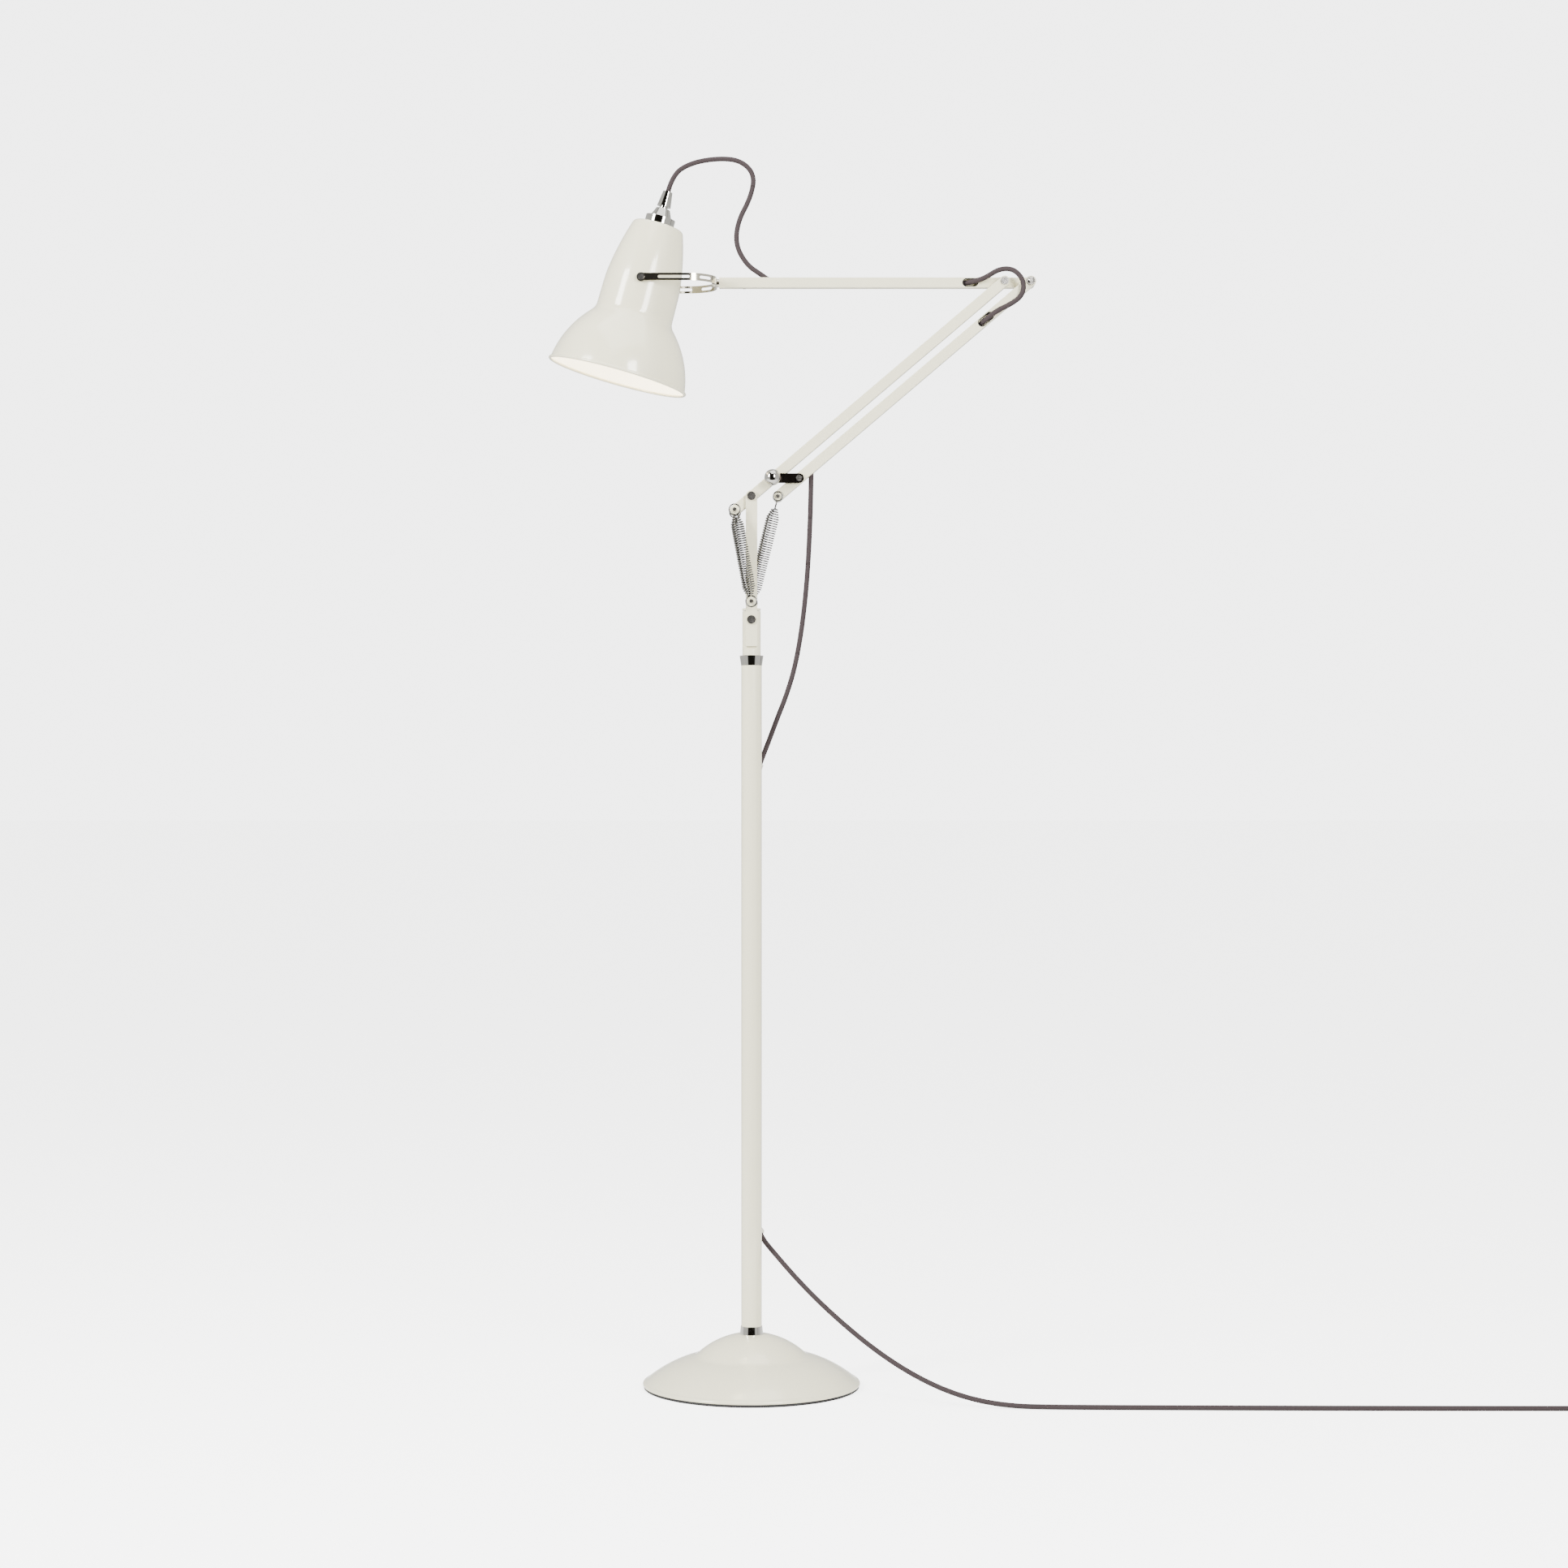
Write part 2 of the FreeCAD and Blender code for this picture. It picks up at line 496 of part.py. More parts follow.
def upper_arm():
    """Square tube from the fork to the tail pin, behind the lower arm and the rod."""
    start = -size("upper_end")
    half = size("bar_width") / 2
    face = size("upper_depth") - half
    slot_place = ELBOW.x - ARM_SLOT
    front_slot = slot_tool("arm_slot", "arm_slot_length", "slot_height", V(slot_place, face, 0), BACK,
                           size("slot_depth"))
    top_slot = slot_tool("head_slot", "slot_length - 1", "cord_radius + cord_radius + 1.3",
                         V(HEAD_SLOT, size("upper_depth"), half - size("slot_depth")), UP,
                         size("slot_depth") + 0.5)
    tail = ELBOW.x + size("lever")
    length = f"{tail:.4f} + upper_end"
    tube = bar("upper_arm_tube", start, length, (tail,),
                  [(ELBOW.x, "elbow_pin_radius"), (tail, "tail_pin_radius + running_gap")],
                  (front_slot, top_slot), size("upper_depth"), True)
    level = FreeCAD.Placement(V(0, 0, ELBOW.z), FreeCAD.Rotation())
    tube.Placement = level
    liner("arm_slot_liner", "arm_slot_length", V(slot_place, face, 0), level)
    front = ELBOW + FRONT * (half + 0.3)
    dome = cylinder("elbow_head", "elbow_head", "clamp_head_thick", front + FRONT * 2.2, BACK)
    shaft = cylinder("elbow_shaft", "elbow_pin_radius", "upper_depth + bar_width + 4", front, BACK)
    rear = cylinder("elbow_nut", "elbow_head", "clamp_head_thick",
                    ELBOW + BACK * (size("upper_depth") + half), BACK)
    join("elbow_pin", dome, shaft, rear)
    bush("elbow_washer", "washer_radius", "elbow_pin_radius", "washer_thick",
         ELBOW + BACK * (face - size("washer_thick")), BACK)
    middle = V(start, size("upper_depth"), ELBOW.z)
    inner = "bar_width - bar_wall - bar_wall"
    inside = half - size("bar_wall")
    corner = V(start, size("upper_depth") - inside, ELBOW.z - inside)
    end = block("end_block", "bar_width", inner, inner, corner)
    cut("arm_end_plug", end, cylinder("end_bore", "stud_radius", "bar_width", middle, V(1, 0, 0)))
    under = V(-9, size("upper_depth"), ELBOW.z - half)
    cylinder("arm_rivet", "rivet_radius", "rivet_radius - 0.6", under, V(0, 0, -1))


def tail_pin():
    """Pin through the end of the upper arm that carries the top of the rod, with a cap nut in front."""
    half = size("bar_width") / 2
    pin = ELBOW + V(size("lever"), 0, 0)
    front = pin + FRONT * (half + 0.3)
    shaft = cylinder("tail_shaft", "tail_pin_radius", "upper_depth + bar_width + 1.5", front, BACK)
    nut = cylinder("tail_nut_body", "tail_nut", "tail_nut - 2", front, FRONT)
    crown = cone("tail_crown", "tail_nut - 0.5", "tail_nut - 3", "tail_nut - 3.4", front + FRONT * 3, FRONT)
    join("tail_pin", shaft, nut, crown)


def fork():
    """Bent strip round the back of the shade, on a stud in the end of the upper arm."""
    outer = u_block("fork_outer", 0.5)
    inner = u_block("fork_inner", -0.5)
    place = V(-size("shade_pivot"), size("upper_depth"), ELBOW.z)
    tips = []
    for side in (-1, 1):
        low = side * size("fork_half") - size("fork_thick") / 2
        tips.append(cylinder(f"fork_tip{side}", "fork_round", "fork_thick",
                             place + V(0, low, 0), BACK))
    strip = join("fork_strip", cut("fork_bow_bent", outer, inner), *tips)
    tools = []
    for number, (low, high) in enumerate(((-114, -75), (-63, -50))):
        centre = V((low + high) / 2, size("upper_depth") - 60, ELBOW.z)
        tools.append(slot_tool(f"fork_slot{number}", str(high - low), "fork_slot", centre, BACK, 120.0))
    tools.append(cylinder("fork_pivots", "screw_radius + running_gap", "fork_half + fork_half + 4",
                          place + FRONT * (size("fork_half") + 2), BACK))
    back = V(-size("fork_back") - 3, size("upper_depth"), ELBOW.z)
    tools.append(cylinder("fork_stud_hole", "stud_radius", "fork_thick + 4", back, V(1, 0, 0)))
    cut("fork_bow", strip, *tools)
    along = V(1, 0, 0)
    outside = -size("fork_back") + size("fork_thick") / 2
    boss = cylinder("stud_flange", "stud_boss", "fork_thick + 1.2", V(outside, back.y, back.z), along)
    shaft = cylinder("stud_shaft", "stud_radius - running_gap", "bar_width + 6",
                     V(outside - 6, back.y, back.z), along)
    nut_low = -size("fork_back") - size("fork_thick") / 2 - size("stud_radius")
    nut = cylinder("fork_nut_disc", "fork_nut", "stud_radius", V(nut_low, back.y, back.z), along)
    join("fork_stud", boss, shaft, nut)


def u_block(label, side):
    """Block with two round upright edges: the outside or the inside of the bent strip."""
    thick = size("fork_thick") * side
    reach = "fork_half + fork_half"
    shape = doc.addObject("Part::Box", label + "_block")
    sign = "+" if side > 0 else "-"
    shape.setExpression("Length", f"Sizes.shade_pivot - Sizes.fork_back {sign} Sizes.fork_thick / 2 + 0")
    shape.setExpression("Width", linked(f"{reach} {sign} fork_thick"))
    shape.setExpression("Height", linked("fork_height"))
    at(shape, V(-size("shade_pivot"), size("upper_depth") - size("fork_half") - thick,
                ELBOW.z - size("fork_height") / 2))
    doc.recompute()
    picks = []
    for number, edge in enumerate(shape.Shape.Edges, 1):
        if abs(edge.CenterOfMass.z - ELBOW.z) < 0.1 and edge.CenterOfMass.x > -size("fork_back") - 3:
            bend = size("fork_bend") + thick
            picks.append((number, bend, bend))
    fillet = doc.addObject("Part::Fillet", label)
    fillet.Base = shape
    fillet.Edges = picks
    return fillet


def head():
    """Spun shade on two screws, with the lampholder, its cap and grip, and the bulb inside."""
    wall = "shade_wall"
    shell = turned("shade_spinning", [
        ("shade_hole", "top_level", None), ("top_radius", "top_level", "-corner_bend"),
        ("corner_radius", "corner_level", "-barrel_bend"), ("waist_radius", "0", None),
        ("neck_radius", "0 - neck_level", "neck_bend"), ("flare_radius", "0 - flare_level", "-bell_bend"),
        ("mouth_radius", "0 - mouth_level", None),
        (f"mouth_radius - {wall}", "0 - mouth_level", "bell_bend"),
        (f"flare_radius - {wall}", f"0 - flare_level - {wall}", "-neck_bend"),
        (f"neck_radius - {wall}", "0 - neck_level", None), (f"waist_radius - {wall}", "0", "barrel_bend"),
        (f"corner_radius - {wall}", f"corner_level - {wall}", "corner_bend"),
        (f"top_radius - {wall}", f"top_level - {wall}", None), ("shade_hole", f"top_level - {wall}", None)])
    lip = torus("shade_lip", "mouth_radius", "lip_radius", V(0, 0, -size("mouth_level")))
    screws = cylinder("shade_screw_hole", "screw_radius", "neck_radius + neck_radius",
                      FRONT * size("neck_radius"), BACK)
    pieces = [cut("shade_shell", join("shade_whole", shell, lip), screws)]
    top = V(0, 0, size("top_level"))
    flange = bush("lampholder_ring", "holder_ring", "stud_radius", "holder_ring_height", top)
    pieces.append(flange)
    socket = turned("lampholder_body", [
        ("0", "top_level", None), ("0", "top_level - 5", None), ("holder_bore", "top_level - 5", None),
        ("holder_bore", "top_level - holder_length", None),
        ("holder_radius", "top_level - holder_length", None),
        ("holder_radius", "top_level", None)])
    pieces.append(socket)
    above = top + UP * size("holder_ring_height")
    pieces.append(cone("lampholder_cap", "dome_radius", "grip_radius", "dome_height", above))
    neck = above + UP * size("dome_height")
    pieces.append(join("cord_grip", cylinder("grip_stem", "grip_neck", "grip_neck_height", neck),
                       cone("grip_barrel", "grip_radius", "grip_top", "grip_height",
                            neck + UP * size("grip_neck_height"))))
    low = V(0, 0, -size("bulb_level"))
    globe = ball("bulb_globe", "bulb_radius", low)
    stem_top = V(0, 0, size("top_level") - size("holder_length") + 1)
    stem = cylinder("bulb_stem", "bulb_neck", "bulb_level + top_level - holder_length + 1", low)
    pieces.append(join("bulb_glass", globe, stem))
    pieces.append(cylinder("bulb_base", "bulb_base_radius", "bulb_base_height", stem_top))
    pivot_parts(pieces)
    tilt = FreeCAD.Placement(SHADE, FreeCAD.Rotation(V(0, 1, 0), size("shade_tilt")))
    for piece in pieces:
        piece.Placement = tilt.multiply(piece.Placement)


def pivot_parts(pieces):
    """Two screws with their nuts inside the shade, and two spacers."""
    screws = []
    spacers = []
    for side, lead in ((-1, FRONT), (1, BACK)):
        inside = lead * size("screw_start")
        shaft = cylinder(f"pivot_shaft{side}", "screw_radius", "screw_length", inside, lead)
        nut = cylinder(f"pivot_nut{side}", "screw_head - 0.4", "screw_radius", inside, lead)
        dome = cylinder(f"pivot_head{side}", "screw_head", "screw_radius - 0.5",
                        lead * (size("fork_half") + 1.1), lead)
        screws.append(join(f"pivot_screw{side}", shaft, nut, dome))
        spacers.append(bush(f"pivot_spacer{side}", "screw_spacer", "screw_radius",
                            "spacer_length", lead * size("spacer_start"), lead))
    pieces.append(group("pivot_screws", *screws))
    pieces.append(group("pivot_spacers", *spacers))


def spring(name, low, high, eyes):
    """Plain sleeve in place of a coil, tapered at both ends, with a wire eye at the ends that have one."""
    run = high - low
    axis = V(run.x, run.y, run.z).normalize()
    reach = size("eye_radius") + size("eye_wire")
    start = low + axis * (reach if eyes[0] else 0)
    end = high - axis * (reach if eyes[1] else 0)
    taper = size("spring_taper")
    first = start + axis * (taper if eyes[0] else 0)
    last = end - axis * (taper if eyes[1] else 0)
    sleeve = doc.addObject("Part::Cylinder", name + "_sleeve")
    bind(sleeve, Radius="spring_radius")
    sleeve.Height = first.distanceToPoint(last)
    at(sleeve, first, axis)
    bore = doc.addObject("Part::Cylinder", name + "_bore")
    bind(bore, Radius="spring_radius - spring_wall")
    bore.Height = first.distanceToPoint(last)
    at(bore, first, axis)
    if not any(eyes):
        return cut(name, sleeve, bore)
    shapes = [cut(name + "_barrel", sleeve, bore)]
    for number, (is_eye, edge, lead, pin) in enumerate(((eyes[0], first, axis * -1, low),
                                                        (eyes[1], last, axis, high))):
        if is_eye:
            shapes.append(cone(f"{name}_cone{number}", "spring_radius", "spring_neck", "spring_taper",
                               edge, lead))
            shapes.append(torus(f"{name}_eye{number}", "eye_radius", "eye_wire", pin, BACK))
    return join(name, *shapes)


def springs():
    """Two springs outside the straps to the tail of the lower arm, and one between them to the rod."""
    pin = V(0, 0, size("spring_pin_height"))
    hooks = []
    for name, lead in (("left_spring_front", FRONT), ("left_spring_rear", BACK)):
        side = lead * size("spring_depth")
        axis = (TAIL - pin).normalize()
        top = TAIL - axis * (size("eye_radius") + size("eye_wire") + 0.3)
        spring(name, pin + side, top + side, (True, False))
        hooks.append(torus(name + "_hook", "eye_radius", "eye_wire", TAIL + side, BACK))
    group("left_spring_hooks", *hooks)
    axis = (ROD_FOOT - pin).normalize()
    top = ROD_FOOT - axis * size("clevis_length")
    middle = pin + (top - pin) * 0.5
    spring("right_spring_lower", pin, middle, (True, False))
    spring("right_spring_upper", middle, top - axis * 0.3, (False, False))
    right_hook(axis)


def right_hook(axis):
    """Stirrup round the foot of the rod: two cheeks on the spring pin and a bridge above the coil."""
    low = -size("hook_low")
    gap = size("hook_gap")
    cheek = size("hook_cheek")
    shapes = []
    for number, side in enumerate((-gap / 2 - cheek, gap / 2)):
        shapes.append(block(f"hook_cheek{number}", "eye_radius + eye_radius", "hook_cheek", "hook_low",
                            V(-size("eye_radius"), side, low)))
        shapes.append(cylinder(f"hook_round{number}", "eye_radius", "hook_cheek", V(0, side, 0), BACK))
    bridge = block("hook_bridge", "eye_radius + eye_radius", "hook_gap", "hook_cheek + 1",
                   V(-size("eye_radius"), -gap / 2, low))
    hole = cylinder("hook_hole", "hook_bore", "hook_gap + 4", V(0, -gap / 2 - 2, 0), BACK)
    hook = cut("right_spring_hook", join("hook_whole", *shapes, bridge), hole)
    hook.Placement = FreeCAD.Placement(ROD_FOOT, FreeCAD.Rotation(UP, axis))


def cords():
    """The cord in four visible runs, the coil of its spare length, and a two-pin plug."""
    radius = size("cord_radius")
    for name, route in CORDS.items():
        swept(name, [V(*point) for point in route], radius)
    centre = V(COIL[0], COIL[1], 0)
    low = cylinder("coil_outside", "coil_outer", "coil_height", centre)
    ring = cut("coil_ring", low, cylinder("coil_inside", "coil_inner", "coil_height", centre))
    level = size("coil_height") - size("cord_radius") - 0.2
    leave = centre + V(size("coil_line"), 0, level)
    join("mains_coil", ring, cylinder("coil_end", "cord_radius", "coil_tail", leave, BACK))
    nose = leave + BACK * size("coil_tail")
    relief = cone("plug_relief", "cord_radius + 0.9", "plug_neck", "plug_neck_length", nose, BACK)
    body_low = nose + BACK * size("plug_neck_length")
    body = block("plug_block", "plug_width", "plug_length", "plug_thick",
                 body_low - V(size("plug_width") / 2, 0, size("plug_thick") / 2))
    join("plug_body", relief, rounded("plug_soft", body, "bar_corner", V(0, 1, 0)))
    face = body_low + BACK * size("plug_length")
    group("plug_pins", *[cylinder(f"plug_pin{side}", "pin_radius", "pin_length",
                                  face + V(side * size("pin_spread"), 0, 0), BACK) for side in (-1, 1)])


slope = math.radians(size("arm_angle"))
LEAN = V(math.cos(slope), 0, math.sin(slope))
ALONG = FreeCAD.Rotation(V(0, 1, 0), -size("arm_angle"))
LEVER = V(size("lever"), 0, 0)
SHOULDER = V(0, 0, size("shoulder_height"))
ELBOW = SHOULDER + LEAN * size("lower_arm")
TAIL = SHOULDER - LEAN * size("arm_tail")
KNUCKLE = SHOULDER + LEAN * size("knuckle_offset")
ROD_PIVOT = KNUCKLE + LEVER
ROD_FOOT = SHOULDER + LEVER
SHADE = V(-size("shade_pivot"), size("upper_depth"), ELBOW.z)

# Distances along the tubes: the rod's slot below the tail pin, its outlet above the knuckle plate,
# the arm's slot before the elbow, and the head cord's slot from the column's axis.
ROD_SLOT = 73.0
ROD_OUTLET = 14.0
ARM_SLOT = 41.5
HEAD_SLOT = 17.0
COIL = (1028.0, -113.6)

# Where each grommet crosses the column's wall, and the way its bore runs outwards.
CORD_HOLES = (
    ("upper_grommet", V(7.2, 8.6, 758.3), V(3.5, 4.2, 10.0).normalize()),
    ("lower_grommet", V(7.5, 9.25, 194.4), V(5.0, 7.5, -8.0).normalize()),
)

CORDS = {
    "head_cord": (
        (-103.5, 13.2, 1474.4), (-97.5, 13.2, 1496), (-76, 13.2, 1510), (-44, 13.2, 1516),
        (-14, 13.2, 1514), (4, 13.2, 1496), (-1, 13.2, 1468), (-17, 13.2, 1438), (-20, 13.2, 1409),
        (-6, 13.2, 1384), (13, 13.2, 1371.5), (23.5, 13.2, 1364)),
    "elbow_cord": (
        (262, 14.5, 1361.6), (270, 7.5, 1361.7), (287, 0, 1365.5), (305, -7, 1376.5), (323, -12.5, 1375),
        (335, -13.5, 1360), (333, -13.5, 1342.5), (319, -13, 1332), (304, -12.2, 1325.3),
        (291.4, -9.4, 1316.8), (281.9, 0.1, 1308.6)),
    "drop_cord": (
        (73.5, 0, 1129.5), (73.2, 0.5, 1105), (72, 1.5, 1060), (69, 3, 1000), (63, 5, 940), (54, 8, 888),
        (43, 11, 852), (31, 14, 822), (21, 16.5, 795), (13.5, 15.5, 776), (8.5, 10.2, 762), (5, 6, 752)),
    "mains_cord": (
        (4, 4, 200), (9, 11.5, 192), (13.9, 13, 179.6), (29, 6, 162.6), (54, -8, 135.8),
        (83.7, -30, 108.5), (122.7, -58, 77.7), (161.3, -85, 52.1), (199.4, -106, 31.8),
        (237.4, -122, 16.9), (275.3, -133, 7.8), (313.2, -139.6, 3.8), (352, -142.2, 3.15),
        (404, -143.8, 3.1), (462, -145.2, 3.1), (522, -146.4, 3.1), (582, -147.4, 3.1), (642, -148.2, 3.1),
        (702, -148.8, 3.1), (762, -149.3, 3.1), (822, -149.65, 3.1), (882, -149.85, 3.1),
        (942, -149.95, 3.1), (1010, -150, 3.1)),
}

NODES = (
    "foot_pad base_weight base_cover base_washer base_bolt column_plug column_tube upper_grommet "
    "lower_grommet base_collar top_collar swivel_bush swivel_post post_cap strap_front strap_rear "
    "clamp_bolt spring_pin_lower shoulder_pin shoulder_spacers lower_arm_tube spring_pin_upper "
    "knuckle_pin link_plate link_screw ball_knob rod_tube rod_spring_pin rod_slot_liner "
    "upper_arm_tube arm_slot_liner elbow_pin elbow_washer arm_end_plug arm_rivet tail_pin "
    "fork_bow fork_stud shade_shell lampholder_ring lampholder_body lampholder_cap cord_grip "
    "bulb_glass bulb_base pivot_screws pivot_spacers left_spring_front left_spring_rear "
    "left_spring_hooks right_spring_lower right_spring_upper right_spring_hook head_cord "
    "elbow_cord drop_cord mains_cord mains_coil plug_body plug_pins").split()

for build in (base, column, swivel, lower_arm, linkage, upper_arm, tail_pin, fork, head, springs, cords):
    build()
doc.recompute()

for item in doc.Objects:
    if "Invalid" in item.State or "Error" in item.State:
        raise RuntimeError(f"{item.Label} did not recompute")
os.makedirs("parts", exist_ok=True)
for name in NODES:
    node = doc.getObject(name)
    if node.Shape.isNull() or not node.Shape.isValid():
        raise RuntimeError(f"{name} has no valid shape")
    node.Label = name
    node.Shape.exportStep(f"parts/{name}.step")
print(len(NODES), "nodes")
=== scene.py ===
import math

import bmesh
import bpy
from mathutils import Matrix, Vector


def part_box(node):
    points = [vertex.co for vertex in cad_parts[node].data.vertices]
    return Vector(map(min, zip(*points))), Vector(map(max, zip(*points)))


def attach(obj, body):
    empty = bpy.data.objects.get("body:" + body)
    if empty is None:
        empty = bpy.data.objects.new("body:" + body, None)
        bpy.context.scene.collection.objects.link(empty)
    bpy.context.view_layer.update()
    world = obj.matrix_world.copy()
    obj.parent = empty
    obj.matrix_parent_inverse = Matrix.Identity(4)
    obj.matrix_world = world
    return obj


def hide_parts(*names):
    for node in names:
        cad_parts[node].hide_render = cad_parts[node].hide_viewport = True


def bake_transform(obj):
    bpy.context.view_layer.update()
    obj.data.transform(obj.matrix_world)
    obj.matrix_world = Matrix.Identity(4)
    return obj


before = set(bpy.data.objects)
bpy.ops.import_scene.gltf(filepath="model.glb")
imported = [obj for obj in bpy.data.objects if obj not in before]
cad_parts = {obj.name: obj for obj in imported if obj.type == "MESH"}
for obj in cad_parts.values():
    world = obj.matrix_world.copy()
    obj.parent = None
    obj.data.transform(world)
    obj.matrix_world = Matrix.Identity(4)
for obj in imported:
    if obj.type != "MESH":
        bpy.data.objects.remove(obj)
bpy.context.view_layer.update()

# The view: eye level with the middle of the lamp, about four metres back, with a long lens
# so that the column and the arms keep their true proportions.
eye = bpy.data.cameras.new("view")
eye.lens = 71.74
eye.sensor_width = 36
viewer = bpy.data.objects.new("view", eye)
viewer.location = (0.040, -3.850, 0.7425)
viewer.rotation_euler = (math.radians(90), 0, 0)
bpy.context.collection.objects.link(viewer)
bpy.context.scene.camera = viewer


# Shader sums are written as sums. A Socket wraps one output of a node; node() makes any other
# node from its settings and the values or links of its inputs.
class Socket:
    def __init__(self, tree, link=None):
        self.tree = tree
        self.link = link

    def node(self, kind, settings=None, sockets=None, out=0):
        made = self.tree.nodes.new(kind)
        for key, value in (settings or {}).items():
            setattr(made, key, value)
        for key, value in (sockets or {}).items():
            if isinstance(value, Socket):
                self.tree.links.new(value.link, made.inputs[key])
            else:
                made.inputs[key].default_value = value
        return Socket(self.tree, made.outputs[out])

    def sum(self, operation, first, second):
        return self.node("ShaderNodeMath", {"operation": operation}, {0: first, 1: second})

    def __add__(self, other):
        return self.sum("ADD", self, other)

    __radd__ = __add__

    def __sub__(self, other):
        return self.sum("SUBTRACT", self, other)

    def __rsub__(self, other):
        return self.sum("SUBTRACT", other, self)

    def __abs__(self):
        return self.sum("ABSOLUTE", self, 0.0)

    def __mul__(self, other):
        return self.sum("MULTIPLY", self, other)

    __rmul__ = __mul__

    def mix(self, low, high):
        """The first colour where this is 0, and the second where it is 1."""
        return self.node("ShaderNodeMix", {"data_type": "RGBA"}, {0: self, 6: low, 7: high}, 2)

    def into(self, shader, name):
        self.tree.links.new(self.link, shader.inputs[name])


def new_finish(name, metallic, roughness):
    """A material with its shader, and a Socket to build on with the position on the piece."""
    made = bpy.data.materials.new(name)
    made.use_nodes = True
    shader = made.node_tree.nodes["Principled BSDF"]
    shader.inputs["Metallic"].default_value = metallic
    shader.inputs["Roughness"].default_value = roughness
    start = Socket(made.node_tree)
    place = start.node("ShaderNodeTexCoord", out=3)
    return made, shader, start, place


def vary(start, place, shader, low, high, scale, relief_depth, relief_scale, rough_low, rough_high):
    """Cloudy colour between two tones, fine relief, and a roughness that drifts with the colour."""
    cloud = start.node("ShaderNodeTexNoise", None, {"Vector": place, "Scale": scale, "Detail": 6.0})
    cloud.mix((*low, 1), (*high, 1)).into(shader, "Base Color")
    (rough_low + cloud * (rough_high - rough_low)).into(shader, "Roughness")
    grain = start.node("ShaderNodeTexNoise", None,
                       {"Vector": place, "Scale": relief_scale, "Detail": 2.0})
    relief = start.node("ShaderNodeBump", None,
                        {"Strength": 1.0, "Distance": relief_depth, "Height": grain})
    relief.into(shader, "Normal")


# Studio: pale surroundings with a dark strip behind the viewer for the polished metal to reflect,
# two tall soft boxes in front that draw the long highlights on the paint, and a soft one overhead.
# The pale floor ends in front of the lamp and glows so that it meets the backdrop.
DARK_STRIP = (0.02, 0.018, 0.015, 1)
SURROUNDINGS = (1.15, 1.15, 1.12, 1)
BACKDROP = (4.6, 4.6, 4.6, 1)
LIT_PLACE = Vector((-0.1, 0.0, 1.2))
FLOOR_FRONT = -1.1
FLOOR_BACK = 60
FLOOR_SIDE = 30
FLOOR_GLOW = 3.6
world = bpy.data.worlds.new("studio")
bpy.context.scene.world = world
world.use_nodes = True
sky = Socket(world.node_tree)
facing = sky.node("ShaderNodeTexCoord", out=0)
across = sky.node("ShaderNodeSeparateXYZ", None, {0: facing}, 0)
depth = sky.node("ShaderNodeSeparateXYZ", None, {0: facing}, 1)
beside = sky.node("ShaderNodeMapRange", None, {0: abs(across), 1: 0.52, 2: 0.66, 3: 0.0, 4: 1.0})
beyond = sky.node("ShaderNodeMapRange", None, {0: depth, 1: -0.3, 2: 0.1, 3: 0.0, 4: 1.0})
tint = beside.sum("MAXIMUM", beside, beyond).mix(DARK_STRIP, SURROUNDINGS)
seen = sky.node("ShaderNodeLightPath")
backdrop = world.node_tree.nodes["Background"]
seen.mix(tint, BACKDROP).into(backdrop, "Color")
backdrop.inputs["Strength"].default_value = 1.0
for name, place, width, height, power in (("left box", (-1.97, -1.53, 2.00), 0.70, 1.5, 150),
                                          ("front box", (1.07, -2.07, 1.70), 0.60, 1.3, 105),
                                          ("top box", (0.2, -0.6, 3.4), 2.4, 2.4, 70)):
    lamp = bpy.data.lights.new(name, "AREA")
    lamp.shape = "RECTANGLE"
    lamp.size = width
    lamp.size_y = height
    lamp.energy = power
    holder = bpy.data.objects.new(name, lamp)
    holder.location = place
    aim = LIT_PLACE - Vector(place)
    holder.rotation_euler = aim.to_track_quat("-Z", "Y").to_euler()
    bpy.context.collection.objects.link(holder)

floor_sheet = bpy.data.meshes.new("studio_floor")
floor_sheet.from_pydata([(-FLOOR_SIDE, FLOOR_FRONT, 0), (FLOOR_SIDE, FLOOR_FRONT, 0),
                         (FLOOR_SIDE, FLOOR_BACK, 0), (-FLOOR_SIDE, FLOOR_BACK, 0)], [], [(0, 1, 2, 3)])
floor = bpy.data.objects.new("studio_floor", floor_sheet)
bpy.context.collection.objects.link(floor)
floor_finish, floor_shader, start, place = new_finish("pale floor", 0, 0.8)
vary(start, place, floor_shader, (0.86, 0.86, 0.855), (0.90, 0.90, 0.895), scale=3.0,
     relief_depth=0.0001, relief_scale=60.0, rough_low=0.7, rough_high=0.9)
straight = start.node("ShaderNodeLightPath")
straight.mix((0.1, 0.1, 0.1, 1), (1, 1, 1, 1)).into(floor_shader, "Emission Color")
floor_shader.inputs["Emission Strength"].default_value = FLOOR_GLOW
floor_sheet.materials.append(floor_finish)


# Cords: one 6.2 mm braided cord. It leaves the grip on the shade in a high loop, passes the elbow
# from slot to slot, drops from the rod to the column, and runs along the floor to its plug.
CORD = 0.0062
braid, shader, start, place = new_finish("dark braid", 0, 0.8)
vary(start, place, shader, (0.030, 0.022, 0.023), (0.044, 0.033, 0.034), scale=900.0,
     relief_depth=0.00003, relief_scale=1500.0, rough_low=0.7, rough_high=0.9)
strand_a = start.node("ShaderNodeTexWave", {"wave_type": "BANDS", "bands_direction": "DIAGONAL"},
                      {"Vector": place, "Scale": 260.0})
strand_b = start.node("ShaderNodeTexWave", {"wave_type": "BANDS", "bands_direction": "Z"},
                      {"Vector": place, "Scale": 330.0})
relief = start.node("ShaderNodeBump", None,
                    {"Strength": 1.0, "Distance": 0.00005, "Height": strand_a * strand_b})
relief.into(shader, "Normal")
shader.inputs["Specular IOR Level"].default_value = 0.2


